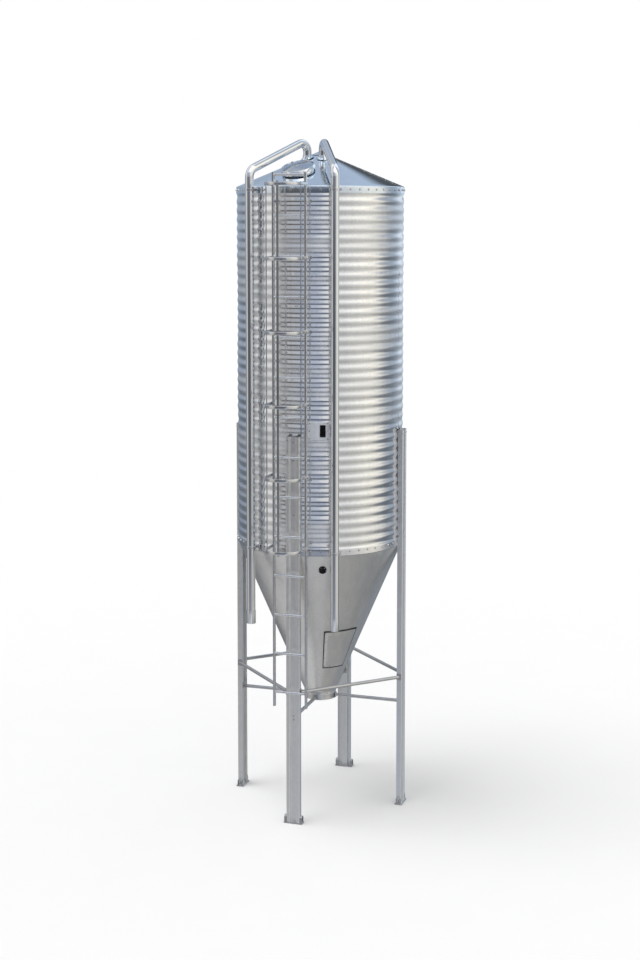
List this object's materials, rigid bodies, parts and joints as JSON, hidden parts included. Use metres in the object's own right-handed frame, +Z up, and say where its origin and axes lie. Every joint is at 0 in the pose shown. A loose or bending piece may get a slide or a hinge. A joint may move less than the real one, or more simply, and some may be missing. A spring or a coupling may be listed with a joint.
{
  "type": "grain silo",
  "caption": "Corrugated steel grain silo with a conical roof and hopper on braced legs, with a caged ladder, a fill pipe and a vent pipe.",
  "frame": {"origin": "on the floor, under the middle of the whole object; the axis of the bin stands 0.242 m behind it, on +Y", "axes": "+Z up along the axis of the bin, -Y towards the ladder side, +X to the right when facing the ladder"},
  "size_m": [2.09, 2.5743, 7.8239],
  "materials": {
    "galvanised_sheet": "bright galvanised, rolled into corrugations",
    "galvanised_roof_sheet": "galvanised, smooth, bluish",
    "galvanised_hopper_sheet": "galvanised, matt",
    "galvanised_profile": "hot-dip galvanised, matt",
    "galvanised_bar": "galvanised, semi-bright",
    "bright_pipe": "smooth and shiny",
    "black_rubber": "matt",
    "black_glass": "dark, glossy"
  },
  "bodies": {
    "root": {"wall_ring_1": "galvanised_sheet", "wall_ring_2": "galvanised_sheet", "wall_ring_3": "galvanised_sheet", "wall_ring_4": "galvanised_sheet", "wall_ring_5": "galvanised_sheet", "level_plate": "galvanised_sheet", "manhole_lid": "galvanised_sheet", "roof": "galvanised_roof_sheet", "manhole_neck": "galvanised_roof_sheet", "hopper": "galvanised_hopper_sheet", "outlet_collar": "galvanised_hopper_sheet", "hatch_panel": "galvanised_hopper_sheet", "leg_front": "galvanised_profile", "leg_right": "galvanised_profile", "leg_back": "galvanised_profile", "leg_left": "galvanised_profile", "foot_front": "galvanised_profile", "foot_right": "galvanised_profile", "foot_back": "galvanised_profile", "foot_left": "galvanised_profile", "ring_brace_front_right": "galvanised_profile", "ring_brace_right_back": "galvanised_profile", "ring_brace_back_left": "galvanised_profile", "ring_brace_left_front": "galvanised_profile", "outlet_brace_front": "galvanised_profile", "outlet_brace_right": "galvanised_profile", "outlet_brace_back": "galvanised_profile", "outlet_brace_left": "galvanised_profile", "ladder_lower": "galvanised_bar", "ladder_upper": "galvanised_bar", "cage_lower": "galvanised_bar", "cage_upper": "galvanised_bar", "fill_clamp_low": "galvanised_bar", "fill_clamp_high": "galvanised_bar", "vent_clamp_low": "galvanised_bar", "vent_clamp_high": "galvanised_bar", "fill_pipe": "bright_pipe", "vent_pipe": "bright_pipe", "fill_pipe_end": "bright_pipe", "vent_pipe_end": "bright_pipe", "hatch_seal": "black_rubber", "sight_glass": "black_glass", "level_window": "black_glass"}
  },
  "joints": []
}
